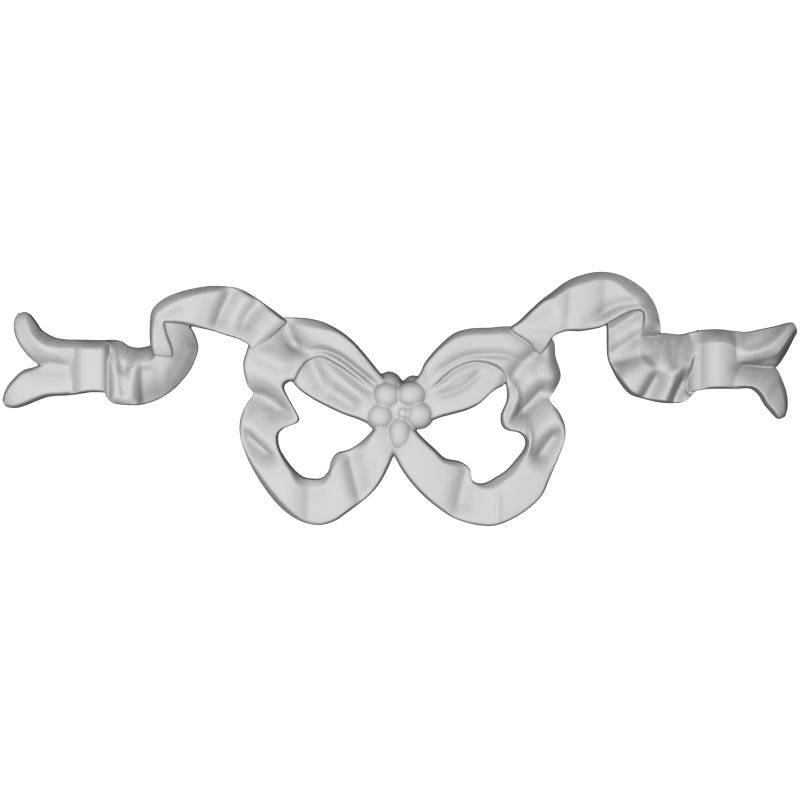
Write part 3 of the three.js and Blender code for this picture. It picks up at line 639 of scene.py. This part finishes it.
def markHollows(whole):  # how far each point lies behind the surface round it
    mesh = whole.data
    depth = pointsOf(mesh)[:, 1]
    total = len(depth)
    edges = np.empty(len(mesh.edges) * 2, int)
    mesh.edges.foreach_get("vertices", edges)
    one, other = edges.reshape(-1, 2).T
    neighbours = np.bincount(one, minlength=total) + np.bincount(other, minlength=total)
    around = depth.copy()
    for _ in range(primer["hollowPasses"]):
        gathered = np.bincount(one, around[other], total) + np.bincount(other, around[one], total)
        around = 0.5 * around + 0.5 * gathered / neighbours
    hollow = np.clip((depth - around) / primer["hollowDepth"], -1, 1)
    # the hollow mark tells the primer material where to paint shade into the creases
    mark = mesh.attributes.new("hollow", "FLOAT", "POINT")
    mark.data.foreach_set("value", hollow)


class Wire:  # a socket in a shader's sums
    def __init__(self, tree, socket=None):
        self.tree, self.socket = tree, socket

    def node(self, kind, inputs=None, output=0, **settings):
        made = self.tree.nodes.new(kind)
        for key, value in settings.items():
            setattr(made, key, value)
        for key, value in (inputs or {}).items():
            if isinstance(value, Wire):
                self.tree.links.new(value.socket, made.inputs[key])
            else:
                made.inputs[key].default_value = value
        return Wire(self.tree, made.outputs[output])

    def sum(self, operation, one, two):
        return self.node("ShaderNodeMath", {0: one, 1: two}, operation=operation)

    def __add__(self, other):
        return self.sum("ADD", self, other)

    __radd__ = __add__

    def __mul__(self, other):
        return self.sum("MULTIPLY", self, other)

    __rmul__ = __mul__

    def __sub__(self, other):
        return self.sum("SUBTRACT", self, other)

    def __rsub__(self, other):
        return self.sum("SUBTRACT", other, self)


def primerMaterial():
    # The primer's own white with real mottle and grain, and painted shade on the steep walls and in the
    # hollows.
    material = bpy.data.materials.new("primed_white")
    material.use_nodes = True
    tree = material.node_tree
    shader = tree.nodes["Principled BSDF"]
    new = Wire(tree).node
    place = new("ShaderNodeTexCoord", output="Object")
    facing = new("ShaderNodeTexCoord", output="Normal")
    across = new("ShaderNodeSeparateXYZ", {0: facing}, output="Y")  # 0 on a wall, 1 or -1 on a flat
    hollow = new("ShaderNodeAttribute", output="Fac", attribute_name="hollow")
    mottle = new("ShaderNodeTexNoise", {"Vector": place, "Scale": primer["mottleScale"], "Detail": 3.0})
    mottle = mottle - 0.5
    # Painted shade: steep walls and hollows are mixed towards the grey as though shade fell there; the
    # mottle adds the primer's real random tone.
    steep = 1 - across * across
    thin = steep + hollow * primer["hollowShadeShare"] + mottle * primer["mottleShare"]
    thin = new("ShaderNodeClamp", {0: thin, 1: 0.0, 2: 1.0})
    colour = new("ShaderNodeMix", {0: thin, 6: primer["white"], 7: primer["thin"]},
                 output=2, data_type="RGBA")  # a colour mix has its colours in sockets 6 and 7
    rough = primer["roughness"] + mottle * primer["roughnessSpread"]
    grain = new("ShaderNodeTexNoise", {"Vector": place, "Scale": primer["grainScale"], "Detail": 2.0})
    bump = new("ShaderNodeBump", {"Height": grain, "Distance": primer["grainHeight"], "Strength": 1.0},
               output="Normal")
    for name, wire in {"Base Color": colour, "Roughness": rough, "Normal": bump}.items():
        tree.links.new(wire.socket, shader.inputs[name])
    return material


studio = {
    "squaresInPicture": 800,  # the picture is as wide as this many squares
    "distance": 2.4,  # from the camera to the middle of the relief
    "sensorWidth": 36,  # millimetres
    "softboxSize": 0.5,
    "softboxAt": (-0.35, -2.2, -0.05),
    "softboxPower": 33,  # watts
    "backLight": 1.1,  # falls straight on the flat back, so the relief doesn't change with it
    "fill": 0.11,  # the even light from all round
    "domeRadius": 6.0,
    "floorRadius": 5.5,
    "floorDepth": 1.8,
    "floorGlow": 0.8,
}
pureWhite = (1, 1, 1, 1)
paleGrey = (0.85, 0.85, 0.85, 1)


def setFill():
    world = bpy.data.worlds.new("studio_fill")
    bpy.context.scene.world = world
    world.use_nodes = True
    background = world.node_tree.nodes["Background"]
    background.inputs["Color"].default_value = pureWhite
    background.inputs["Strength"].default_value = studio["fill"]


def setBackdrop(name, finish, colour, glow):  # the camera sees it, and it throws no light on the relief
    backdrop = bpy.context.object
    backdrop.name = name
    material = bpy.data.materials.new(finish)
    material.use_nodes = True
    shader = material.node_tree.nodes["Principled BSDF"]
    shader.inputs["Base Color"].default_value = colour
    shader.inputs["Roughness"].default_value = 0.9
    shader.inputs["Emission Color"].default_value = colour
    shader.inputs["Emission Strength"].default_value = glow
    backdrop.data.materials.append(material)
    backdrop.visible_diffuse = False
    backdrop.visible_glossy = False
    return backdrop


def setLights(middle):
    deselectAll()
    bpy.ops.object.light_add(type="AREA", location=studio["softboxAt"])
    softbox = bpy.context.object
    softbox.data.size = studio["softboxSize"]
    softbox.data.energy = studio["softboxPower"]
    softbox.rotation_euler = (softbox.location - middle).to_track_quat("Z", "Y").to_euler()

    deselectAll()
    bpy.ops.object.light_add(type="SUN", location=(0, studio["distance"], 0),
                             rotation=(-math.pi / 2, 0, 0))
    bpy.context.object.data.energy = studio["backLight"]


def setCamera(middle):  # straight in front, with the focal length that fills the picture's width
    bpy.ops.object.camera_add(location=middle - Vector((0, studio["distance"], 0)),
                              rotation=(math.pi / 2, 0, 0))
    camera = bpy.context.object
    seen = studio["squaresInPicture"] * square
    camera.data.sensor_width = studio["sensorWidth"]
    camera.data.lens = studio["sensorWidth"] * studio["distance"] / seen
    camera.data.dof.use_dof = False
    bpy.context.scene.camera = camera


def makeStudio():
    bpy.context.scene.view_settings.view_transform = "Standard"
    setFill()
    deselectAll()
    bpy.ops.mesh.primitive_uv_sphere_add(segments=48, ring_count=24, radius=studio["domeRadius"])
    dome = setBackdrop("studio_dome", "white_dome", pureWhite, 1.0)
    dome.visible_shadow = False
    deselectAll()
    bpy.ops.mesh.primitive_circle_add(vertices=64, radius=studio["floorRadius"], fill_type="NGON",
                                      location=(0, 0, -studio["floorDepth"]))
    setBackdrop("studio_floor", "pale_floor", paleGrey, studio["floorGlow"])
    middle = Vector((0, -onlay["relief"] / 2, 0))
    setLights(middle)
    setCamera(middle)
    print("studio set")


casting = makeCasting()
markHollows(casting)
casting.data.materials.clear()
casting.data.materials.append(primerMaterial())
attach(casting, "root")
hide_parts(onlay["node"])
print("casting finished")
makeStudio()
